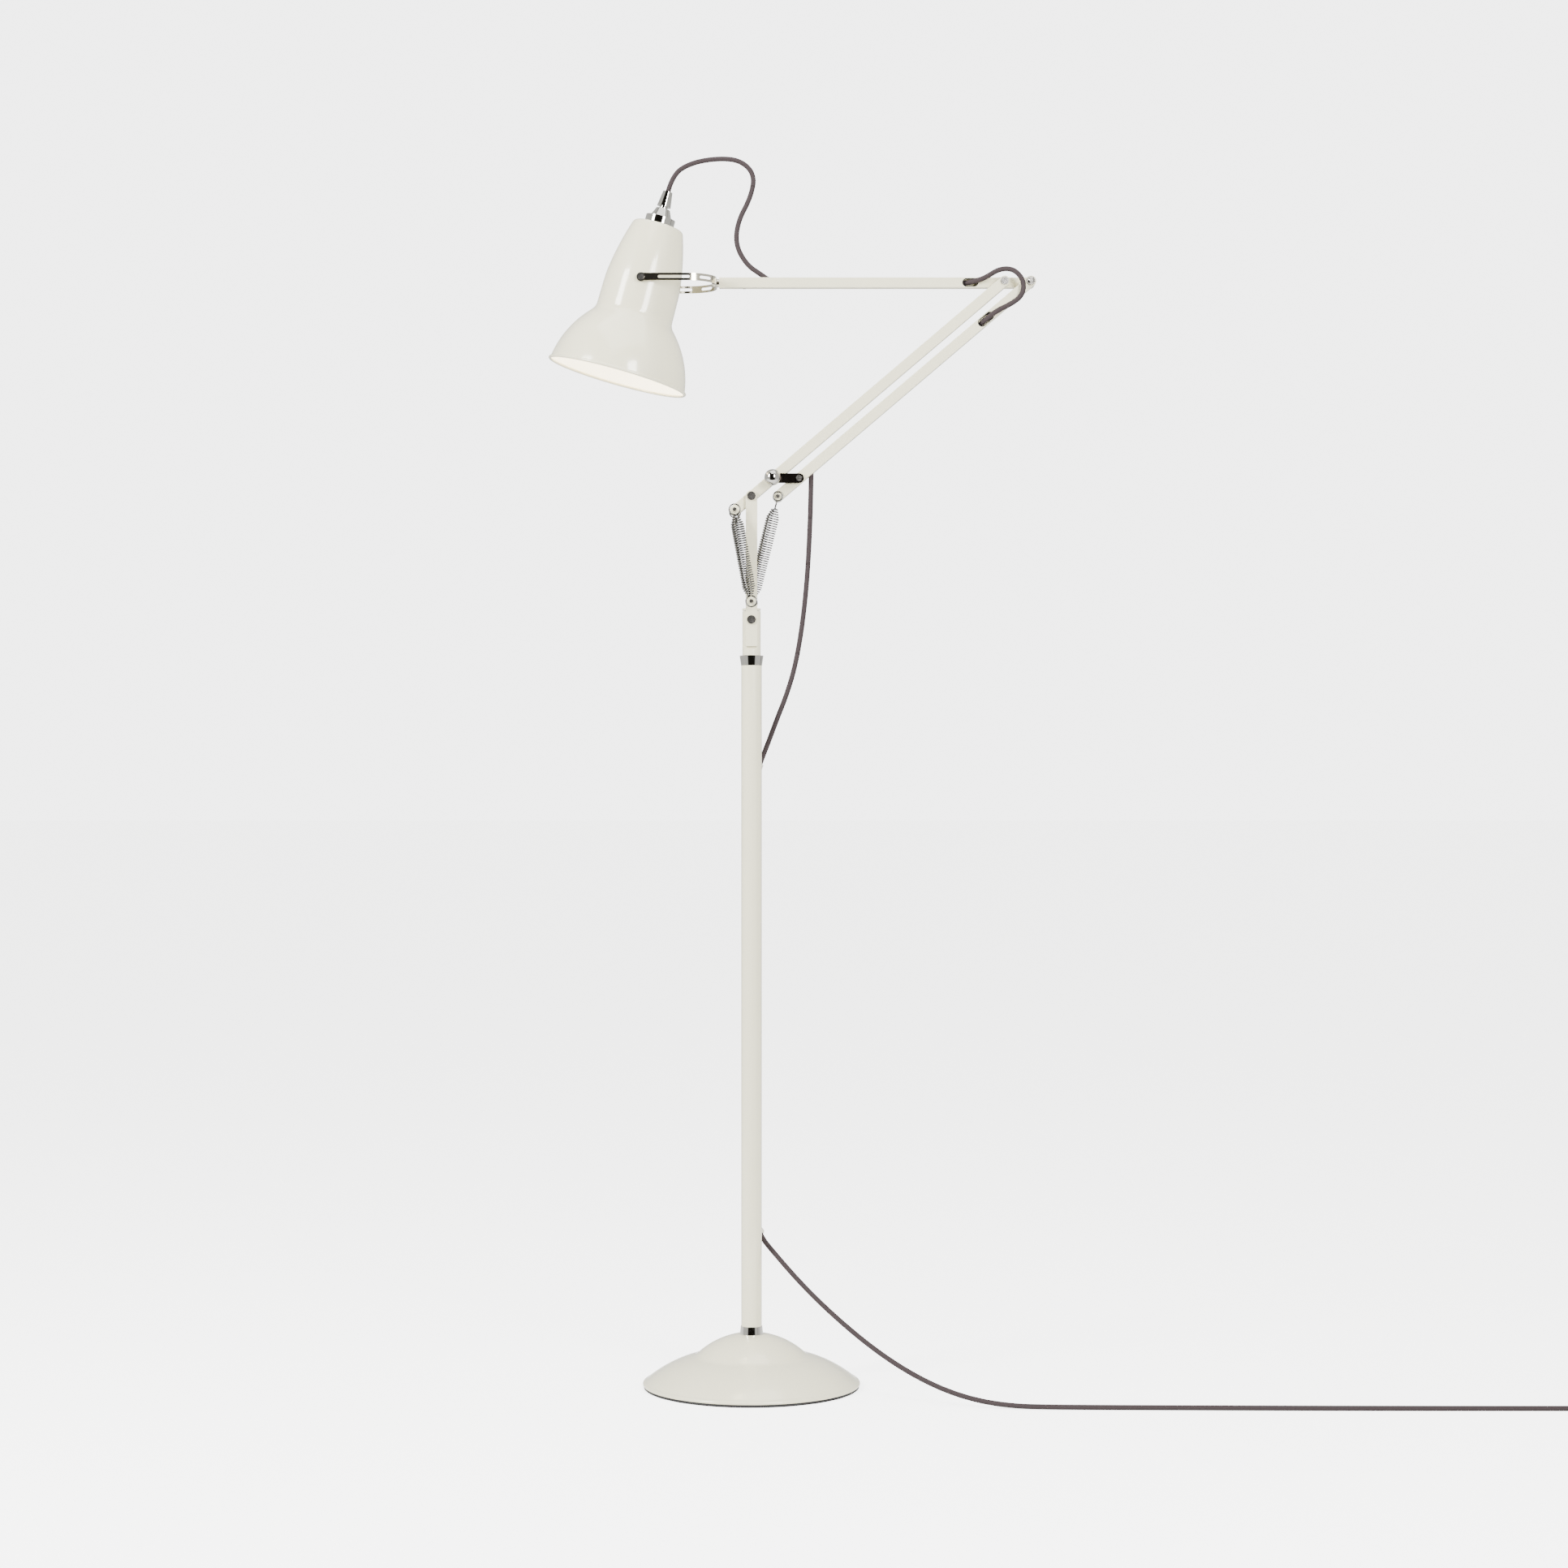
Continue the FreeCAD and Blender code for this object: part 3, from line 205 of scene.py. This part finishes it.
def line_of(points):
    """The smooth line that a cord follows, read from its spline."""
    curve = bpy.data.curves.new("route", "CURVE")
    curve.dimensions = "3D"
    spline = curve.splines.new("NURBS")
    spline.points.add(len(points) - 1)
    for knot, point in zip(spline.points, points):
        knot.co = (*point, 1)
    spline.order_u = 3
    spline.use_endpoint_u = True
    curve.resolution_u = 10
    holder = bpy.data.objects.new("route", curve)
    bpy.context.collection.objects.link(holder)
    bpy.context.view_layer.update()
    mesh = bpy.data.meshes.new_from_object(holder)
    line = [vertex.co.copy() for vertex in mesh.vertices]
    bpy.data.objects.remove(holder)
    return line


def tube(name, line, radius, finish, sides=16):
    """A round skin along a line. The ring turns as little as it can from point to point."""
    mesh = bpy.data.meshes.new(name)
    skin = bmesh.new()
    ahead = (line[1] - line[0]).normalized()
    side = ahead.orthogonal().normalized()
    rings = []
    for index, centre in enumerate(line):
        after = line[min(index + 1, len(line) - 1)] - line[max(index - 1, 0)]
        turn = ahead.rotation_difference(after.normalized())
        side = (turn @ side).normalized()
        ahead = after.normalized()
        across = ahead.cross(side)
        rings.append([skin.verts.new(centre + (side * math.cos(a) + across * math.sin(a)) * radius)
                      for a in (2 * math.pi * step / sides for step in range(sides))])
    for low, high in zip(rings, rings[1:]):
        for step in range(sides):
            after = (step + 1) % sides
            skin.faces.new((low[step], low[after], high[after], high[step]))
    skin.faces.new(rings[0][::-1])
    skin.faces.new(rings[-1])
    for face in skin.faces:
        face.smooth = len(face.verts) == 4
    skin.to_mesh(mesh)
    skin.free()
    mesh.materials.append(finish)
    made = bpy.data.objects.new(name, mesh)
    bpy.context.collection.objects.link(made)
    return made


def metres(points):
    return [tuple(value / 1000 for value in point) for point in points]


head_route = metres((
    (-103.5, 13.2, 1474.4), (-97.5, 13.2, 1496), (-76, 13.2, 1510), (-44, 13.2, 1516),
    (-14, 13.2, 1514), (4, 13.2, 1496), (-1, 13.2, 1468), (-17, 13.2, 1438), (-20, 13.2, 1409),
    (-6, 13.2, 1384), (13, 13.2, 1371.5), (23.5, 13.2, 1364)))
elbow_route = metres((
    (262, 14.5, 1361.6), (270, 7.5, 1361.7), (287, 0, 1365.5), (305, -7, 1376.5), (323, -12.5, 1375),
    (335, -13.5, 1360), (333, -13.5, 1342.5), (319, -13, 1332), (304, -12.2, 1325.3),
    (291.4, -9.4, 1316.8), (281.9, 0.1, 1308.6)))
drop_route = metres((
    (73.5, 0, 1129.5), (73.2, 0.5, 1105), (72, 1.5, 1060), (69, 3, 1000), (63, 5, 940), (54, 8, 888),
    (43, 11, 852), (31, 14, 822), (21, 16.5, 795), (13.5, 15.5, 776), (8.5, 10.2, 762), (5, 6, 752)))
mains_route = metres((
    (4, 4, 200), (9, 11.5, 192), (13.9, 13, 179.6), (29, 6, 162.6), (54, -8, 135.8),
    (83.7, -30, 108.5), (122.7, -58, 77.7), (161.3, -85, 52.1), (199.4, -106, 31.8),
    (237.4, -122, 16.9), (275.3, -133, 7.8), (313.2, -139.6, 3.8), (352, -142.2, 3.15),
    (404, -143.8, 3.1), (462, -145.2, 3.1), (522, -146.4, 3.1), (582, -147.4, 3.1), (642, -148.2, 3.1),
    (702, -148.8, 3.1), (762, -149.3, 3.1), (822, -149.65, 3.1), (882, -149.85, 3.1),
    (942, -149.95, 3.1), (1010, -150, 3.1)))
# The spare length lies in four turns: inward and out again on the floor, then the same once more
# one cord higher.
COIL = (1.028, -0.1136)
OUTER_TURN = 0.0364
INNER_TURN = 0.0300
TURNS = 4
CLIMB_FROM = 1.5
STEPS = 16
LOW_LAYER = CORD / 2
HIGH_LAYER = LOW_LAYER + CORD
for step in range(TURNS * STEPS):
    turn = step / STEPS
    angle = 2 * math.pi * turn - math.pi / 2
    swing = 0.5 - 0.5 * math.cos(math.pi * min(turn, TURNS - turn))
    lift = LOW_LAYER + CORD * min(max(turn - CLIMB_FROM, 0), 1)
    reach = OUTER_TURN - (OUTER_TURN - INNER_TURN) * swing
    mains_route.append((COIL[0] + reach * math.cos(angle), COIL[1] + reach * math.sin(angle), lift))
TO_PLUG = 0.026
LAST_STEPS = 4
for step in range(1, LAST_STEPS + 1):
    angle = math.pi / 2 * step / LAST_STEPS - math.pi / 2
    mains_route.append((COIL[0] + OUTER_TURN * math.cos(angle),
                        COIL[1] + OUTER_TURN * math.sin(angle), HIGH_LAYER))
for ahead in (TO_PLUG / 2, TO_PLUG):
    mains_route.append((COIL[0] + OUTER_TURN, COIL[1] + ahead, HIGH_LAYER))

mains_line = line_of(mains_route)
mains = tube("mains_lead", mains_line, CORD / 2, braid)
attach(mains, "base")
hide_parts("mains_cord", "mains_coil")


def cord_pieces(name, line, cuts, node):
    """One run of cord, cut at some of its points, with a piece for each pair of bodies it joins."""
    marks = [0, *cuts, len(line) - 1]
    for number, (first, last) in enumerate(zip(marks, marks[1:])):
        part = line[first:last + 1]
        piece = tube(f"{name}_{number + 1}", part, CORD / 2, braid)
        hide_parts(node)
        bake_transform(piece)


head_line = line_of(head_route)
cord_pieces("head_lead", head_line, [len(head_line) // 2],
            "head_cord")
cord_pieces("elbow_lead", line_of(elbow_route), [], "elbow_cord")
# Heights at which the drop passes from one pair of bodies to the next.
HAND_OVER = (1.070, 1.010, 0.905)
drop_line = line_of(drop_route)
drop_cuts = [min(range(len(drop_line)), key=lambda i: abs(drop_line[i].z - height))
             for height in HAND_OVER]
cord_pieces("drop_lead", drop_line, drop_cuts,
            "drop_cord")


# Painted metal: gloss cream enamel over spun and drawn steel, with the slight unevenness of a
# sprayed coat. It covers the base, the column, the swivel, the arms and the shade.
enamel, shader, start, place = new_finish("cream enamel", 0, 0.2)
vary(start, place, shader, (0.760, 0.720, 0.520), (0.790, 0.750, 0.550), scale=14.0,
     relief_depth=0.000006, relief_scale=220.0, rough_low=0.14, rough_high=0.22)
shader.inputs["Coat Weight"].default_value = 0.5
shader.inputs["Coat Roughness"].default_value = 0.08


def dress(finish, *names):
    """Give CAD parts a finish in every slot they have."""
    for name in names:
        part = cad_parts[name]
        if not part.data.materials:
            part.data.materials.append(finish)
        for index in range(len(part.material_slots)):
            part.material_slots[index].material = finish


dress(enamel, "column_tube", "swivel_post", "post_cap", "strap_front", "strap_rear",
      "lower_arm_tube", "rod_tube", "upper_arm_tube")


def lathe(name, outline, finish, segments, placement=None, level=1):
    """Turn an outline of radius and height about the vertical, and smooth it."""
    mesh = bpy.data.meshes.new(name)
    shape = bmesh.new()
    rings = []
    for radius, height in outline:
        if radius < 1e-6:
            rings.append([shape.verts.new((0, 0, height))])
            continue
        rings.append([shape.verts.new((radius * math.cos(angle), radius * math.sin(angle), height))
                      for angle in (2 * math.pi * step / segments for step in range(segments))])
    for low, high in zip(rings, rings[1:]):
        for step in range(segments):
            after = (step + 1) % segments
            corners = [low[step % len(low)], low[after % len(low)],
                       high[after % len(high)], high[step % len(high)]]
            corners = [c for index, c in enumerate(corners) if c not in corners[:index]]
            if len(corners) > 2:
                shape.faces.new(corners)
    bmesh.ops.recalc_face_normals(shape, faces=shape.faces)
    for face in shape.faces:
        face.smooth = True
    shape.to_mesh(mesh)
    shape.free()
    mesh.materials.append(finish)
    made = bpy.data.objects.new(name, mesh)
    bpy.context.collection.objects.link(made)
    if placement is not None:
        made.matrix_world = placement
    if level:
        smooth = made.modifiers.new("round", "SUBSURF")
        smooth.levels = level
        smooth.render_levels = level
    return made


def arc_points(start, end, radius, count, inside=False):
    """Points on the short arc between two outline corners, the end left out."""
    middle = ((start[0] + end[0]) / 2, (start[1] + end[1]) / 2)
    chord = (end[0] - start[0], end[1] - start[1])
    span = math.hypot(*chord)
    reach = math.sqrt(radius ** 2 - (span / 2) ** 2) * (1 if inside else -1)
    centre = (middle[0] + chord[1] / span * reach, middle[1] - chord[0] / span * reach)
    first = math.atan2(start[1] - centre[1], start[0] - centre[0])
    sweep = math.atan2(end[1] - centre[1], end[0] - centre[0]) - first
    sweep = (sweep + math.pi) % (2 * math.pi) - math.pi
    return [(centre[0] + radius * math.cos(first + sweep * step / count),
             centre[1] + radius * math.sin(first + sweep * step / count)) for step in range(count)]


# Base: a spun steel cover over a cast weight. The skirt rises in one curve to a crease, and a
# dome carries on from there to the chromed collar, where it turns over and comes back inside.
top_of_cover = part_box("base_cover")[1][2]
PAD_HEIGHT = 0.0036
COVER_WALL = 0.0016
WALL_INWARD = 0.0012
BORE = 0.0128
foot = (0.1334, PAD_HEIGHT)
rim = (0.1340, 0.0048)
skirt = (0.1305, 0.0080)
crease = (0.0690, 0.03875)
seat = (0.0144, top_of_cover)
outside = [foot, rim]
outside += arc_points(rim, skirt, 0.0038, 5)[1:]
outside += arc_points(skirt, crease, 0.1546, 12)
outside += arc_points(crease, seat, 0.098, 12)
outside += [seat, (BORE, top_of_cover)]
under = [(radius - WALL_INWARD, height - COVER_WALL) for radius, height in outside[-3:2:-1]]
back = [(BORE, top_of_cover - COVER_WALL)] + under + [(foot[0] - COVER_WALL, PAD_HEIGHT), foot]
cover = lathe("base_cover_spun", outside + back, enamel, 128)
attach(cover, "base")
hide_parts("base_cover")

# Black rubber: the foot pad under the base, a disc with a softened edge that shows as a thin line
# below the cover, and the liners that keep the cord off the edges of the two slots.
rubber, shader, start, place = new_finish("black rubber", 0, 0.7)
vary(start, place, shader, (0.004, 0.004, 0.004), (0.012, 0.011, 0.010), scale=90.0,
     relief_depth=0.00005, relief_scale=1400.0, rough_low=0.6, rough_high=0.8)
dress(rubber, "rod_slot_liner", "arm_slot_liner")
PAD_FOOT = 0.1316
PAD_SIDE = 0.1326
PAD_TOP = 0.1328
pad = lathe("foot_pad_moulded", [(0.0, 0.0), (PAD_FOOT, 0.0), (PAD_SIDE, 0.0007),
                                 (PAD_TOP, PAD_HEIGHT), (0.0, PAD_HEIGHT)], rubber, 128, level=0)
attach(pad, "base")
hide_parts("foot_pad")

# Pale rubber: the two grommets in the column, where the drop cord goes in and the mains lead
# comes out. They are close to the paint in colour but have no gloss.
sleeve, shader, start, place = new_finish("pale rubber", 0, 0.6)
vary(start, place, shader, (0.60, 0.58, 0.49), (0.68, 0.66, 0.56), scale=90.0,
     relief_depth=0.00003, relief_scale=1400.0, rough_low=0.5, rough_high=0.7)
dress(sleeve, "upper_grommet", "lower_grommet")

# Cast iron: the weight hidden under the cover, rough from the sand mould.
# It carries the long bolt that holds the column down.
iron, shader, start, place = new_finish("cast iron", 0.6, 0.7)
vary(start, place, shader, (0.06, 0.055, 0.05), (0.13, 0.12, 0.11), scale=60.0,
     relief_depth=0.0005, relief_scale=500.0, rough_low=0.6, rough_high=0.9)
dress(iron, "base_weight")

# Bright metal: the collars, the ball knob and the lampholder are chromed and polished; faint
# wipe marks and a slow drift in gloss keep them from being perfect mirrors.
chrome, shader, start, place = new_finish("polished chrome", 1.0, 0.08)
vary(start, place, shader, (0.42, 0.41, 0.38), (0.50, 0.49, 0.46), scale=40.0,
     relief_depth=0.0000004, relief_scale=900.0, rough_low=0.04, rough_high=0.10)
dress(chrome, "base_collar", "top_collar", "ball_knob", "lampholder_ring", "lampholder_cap", "cord_grip")

# Plated steel: every turned or headed small part, from the clamp bolt and the hinge pins to the
# spacers, the rivet and the plug's pins. The plating is duller and more mottled than chrome.
steel, shader, start, place = new_finish("plated steel", 1.0, 0.25)
vary(start, place, shader, (0.30, 0.29, 0.27), (0.46, 0.44, 0.41), scale=300.0,
     relief_depth=0.000002, relief_scale=1500.0, rough_low=0.16, rough_high=0.30)
dress(steel, "base_bolt", "base_washer", "column_plug", "clamp_bolt", "spring_pin_lower", "shoulder_pin",
      "shoulder_spacers", "spring_pin_upper", "knuckle_pin", "link_screw", "rod_spring_pin", "elbow_pin",
      "elbow_washer", "tail_pin", "pivot_screws", "pivot_spacers", "arm_rivet", "bulb_base", "plug_pins")

# Nickel strip: the bent fork that carries the shade, and the stud that it turns on. The plating
# is warmer than chrome and a little softer in its gloss.
nickel, shader, start, place = new_finish("nickel strip", 1.0, 0.12)
vary(start, place, shader, (0.50, 0.47, 0.38), (0.62, 0.58, 0.48), scale=70.0,
     relief_depth=0.000001, relief_scale=1200.0, rough_low=0.08, rough_high=0.18)
dress(nickel, "fork_bow", "fork_stud")

# Link plate: the polished plate in front of the knuckle, its colour painted near black as a painted dark
# reflection, so it is the one dark piece of metal on the arms. It joins the lower arm to the rod, with
# its screw left bright.
dark, shader, start, place = new_finish("link plate with painted dark reflection", 1.0, 0.2)
# Painted reflection: the near-black colour stands in for the dark that the polished plate reflects.
vary(start, place, shader, (0.020, 0.015, 0.012), (0.040, 0.032, 0.028), scale=80.0,
     relief_depth=0.000001, relief_scale=1200.0, rough_low=0.15, rough_high=0.28)
dress(dark, "link_plate")

# Black mouldings: the plug, the lampholder's body, the plug in the end of the upper arm, and the
# bush that the swivel turns in. All have the even half gloss of a moulded part.
plastic, shader, start, place = new_finish("black moulding", 0, 0.45)
vary(start, place, shader, (0.012, 0.012, 0.013), (0.024, 0.024, 0.025), scale=120.0,
     relief_depth=0.00002, relief_scale=1300.0, rough_low=0.38, rough_high=0.55)
dress(plastic, "plug_body", "lampholder_body", "arm_end_plug", "swivel_bush")


# Springs: tension springs of 1.7 mm wire. Each tapers at its ends and closes in an eye. Two pull
# the lower arm, one outside each strap, and one pulls the rod through a pair of rings.
wire, shader, start, place = new_finish("spring wire", 1.0, 0.22)
vary(start, place, shader, (0.10, 0.10, 0.095), (0.17, 0.165, 0.158), scale=400.0,
     relief_depth=0.000002, relief_scale=2000.0, rough_low=0.12, rough_high=0.26)
WIRE = 0.0017
COIL_RADIUS = 0.0077
EYE_RADIUS = 0.0067
EYE_REACH = 0.007
NECK = 0.42
TAPER_TURNS = 4
WIRE_SIDES = 8


def coil(name, low, high, turns, tapers, per_turn=14):
    """A helix between two points, drawn in at the ends that hold an eye."""
    axis = (high - low).normalized()
    side = Vector((0, 1, 0))
    across = axis.cross(side).normalized()
    count = int(turns * per_turn)
    line = []
    for step in range(count + 1):
        along = step / count
        shrink = 1.0
        if tapers[0]:
            shrink = min(shrink, NECK + (1 - NECK) * min(along * turns / TAPER_TURNS, 1))
        if tapers[1]:
            shrink = min(shrink, NECK + (1 - NECK) * min((1 - along) * turns / TAPER_TURNS, 1))
        angle = 2 * math.pi * step / per_turn
        swing = side * math.cos(angle) + across * math.sin(angle)
        line.append(low + (high - low) * along + swing * COIL_RADIUS * shrink)
    return tube(name, line, WIRE / 2, wire, WIRE_SIDES)


def eye(name, centre, radius):
    """A wire ring in the plane of the arms."""
    steps = 28
    line = [centre + Vector((math.sin(angle), 0, math.cos(angle))) * radius
            for angle in (2 * math.pi * step / steps for step in range(steps))]
    return tube(name, line + [line[0]], WIRE / 2, wire, WIRE_SIDES)


def middle_of(node):
    low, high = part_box(node)
    return (Vector(low) + Vector(high)) / 2


lower_pin = middle_of("spring_pin_lower")
upper_pin = middle_of("spring_pin_upper")
rod_pin = middle_of("rod_spring_pin")
LEFT_ASIDE = 0.021
for name, side in (("left_spring_front", -LEFT_ASIDE), ("left_spring_rear", LEFT_ASIDE)):
    shift = Vector((0, side, 0))
    low = Vector((lower_pin.x, 0, lower_pin.z)) + shift
    high = Vector((upper_pin.x, 0, upper_pin.z)) + shift
    axis = (high - low).normalized()
    body = coil(name + "_coil", low + axis * EYE_REACH, high - axis * EYE_REACH, 35, (True, True))
    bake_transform(body)
    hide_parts(name)
    foot = eye(name + "_foot_eye", low, EYE_RADIUS)
    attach(foot, "swivel")
    top = eye(name + "_top_eye", high, EYE_RADIUS)
    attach(top, "left_spring_top")
    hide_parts("left_spring_hooks")

# Right spring: one coil on the centre line, made in two halves that meet in the middle. Its crown
# stops short of the rod's pin, and a ring with a short leg reaches the pin on each side of the rod.
CROWN_DROP = 0.0152
RING_ASIDE = 0.0076
RING_RADIUS = EYE_RADIUS * 0.85
low = Vector((lower_pin.x, 0, lower_pin.z))
high = Vector((rod_pin.x, 0, rod_pin.z))
axis = (high - low).normalized()
crown = high - axis * CROWN_DROP
middle = (low + crown) / 2
half_turns = 19
lower_half = coil("right_spring_coil_lower", low + axis * EYE_REACH, middle, half_turns, (True, False))
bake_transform(lower_half)
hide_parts("right_spring_lower")
upper_half = coil("right_spring_coil_upper", middle, crown, half_turns + 1, (False, True))
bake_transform(upper_half)
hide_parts("right_spring_upper")
foot = eye("right_spring_foot_eye", low, EYE_RADIUS)
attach(foot, "swivel")
for name, side in (("front", -RING_ASIDE), ("rear", RING_ASIDE)):
    outward = Vector((0, side, 0))
    ring = eye(f"right_spring_{name}_ring", high + outward, RING_RADIUS)
    leg_line = [high + outward - axis * RING_RADIUS, crown + outward * 0.8 + axis * 0.002,
                crown + outward * 0.3 - axis * 0.001]
    leg = tube(f"right_spring_{name}_leg", leg_line, WIRE / 2, wire, WIRE_SIDES)
    for part in (ring, leg):
        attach(part, "right_spring_top")
        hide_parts("right_spring_hook")


# Shade: spun aluminium, a barrel that swells to a waist and a bell below it with a rolled lip.
# Gloss cream outside; the inside is a satin white lining, and the bulb's warm light on it is painted as
# a glow of the lining itself.
pivot = middle_of("pivot_screws")
SHADE_LEAN = 15.35
tilt = Matrix.Translation(pivot) @ Matrix.Rotation(math.radians(SHADE_LEAN), 4, "Y")
TOP = 0.074
shoulder = (0.0325, 0.069)
belly = (0.0473, 0.0)
waist = (0.0530, -0.049)
mouth = (0.0860, -0.1190)
barrel = [(0.0166, TOP), (0.0200, TOP), (0.0245, TOP)]
barrel += arc_points((0.027, TOP), shoulder, 0.006, 5, True)
barrel += arc_points(shoulder, belly, 0.357, 10, True)
barrel += [belly, (0.0478, -0.020)]
barrel += arc_points((0.0480, -0.038), waist, 0.0167, 6)
barrel += arc_points(waist, mouth, 0.124, 14, True)
outer_shell = lathe("shade_outside", barrel + [mouth], enamel, 128, tilt)
LIP_RADIUS = 0.0020
LIP_STEPS = 12
lip_outline = [(mouth[0] + LIP_RADIUS * math.sin(angle), mouth[1] - LIP_RADIUS * math.cos(angle))
               for angle in (2 * math.pi * step / LIP_STEPS for step in range(LIP_STEPS + 1))]
lip = lathe("shade_lip", lip_outline, enamel, 128, tilt)
for part in (outer_shell, lip):
    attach(part, "shade")
    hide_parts("shade_shell")
glow, shader, start, place = new_finish("white lining with painted glow", 0, 0.5)
vary(start, place, shader, (0.93, 0.90, 0.82), (0.95, 0.93, 0.86), scale=20.0,
     relief_depth=0.00001, relief_scale=300.0, rough_low=0.45, rough_high=0.6)
# Painted light: the lining glows warm by itself, standing in for the bulb's light falling on it.
shader.inputs["Emission Color"].default_value = (1.0, 0.86, 0.60, 1)
shader.inputs["Emission Strength"].default_value = 2.6
SHADE_WALL = 0.0011
NEAR_TOP = 0.068
lining = [(radius - SHADE_WALL, height - (SHADE_WALL if height > NEAR_TOP else 0))
          for radius, height in barrel]
inner_shell = lathe("shade_lining", lining + [(0.0849, -0.1188)], glow, 128, tilt)
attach(inner_shell, "shade")

# Bulb: a round opal lamp of 60 mm in a plain screw holder, lit.
opal, shader, start, place = new_finish("lit opal glass", 0, 0.35)
vary(start, place, shader, (0.95, 0.92, 0.85), (1.0, 0.97, 0.90), scale=30.0,
     relief_depth=0.000005, relief_scale=400.0, rough_low=0.3, rough_high=0.4)
shader.inputs["Emission Color"].default_value = (1.0, 0.90, 0.72, 1)
shader.inputs["Emission Strength"].default_value = 9.0
GLOBE = 0.030
GLOBE_MIDDLE = -0.025
NECK_RADIUS = 0.0125
globe = [(0.0, GLOBE_MIDDLE - GLOBE)]
globe += [(GLOBE * math.sin(angle), GLOBE_MIDDLE - GLOBE * math.cos(angle))
          for angle in (math.radians(12 * step) for step in range(1, 13))]
globe += [(0.0135, 0.010), (NECK_RADIUS, 0.020), (NECK_RADIUS, 0.0285)]
bulb = lathe("bulb_opal", globe, opal, 64, tilt)
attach(bulb, "shade")
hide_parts("bulb_glass")
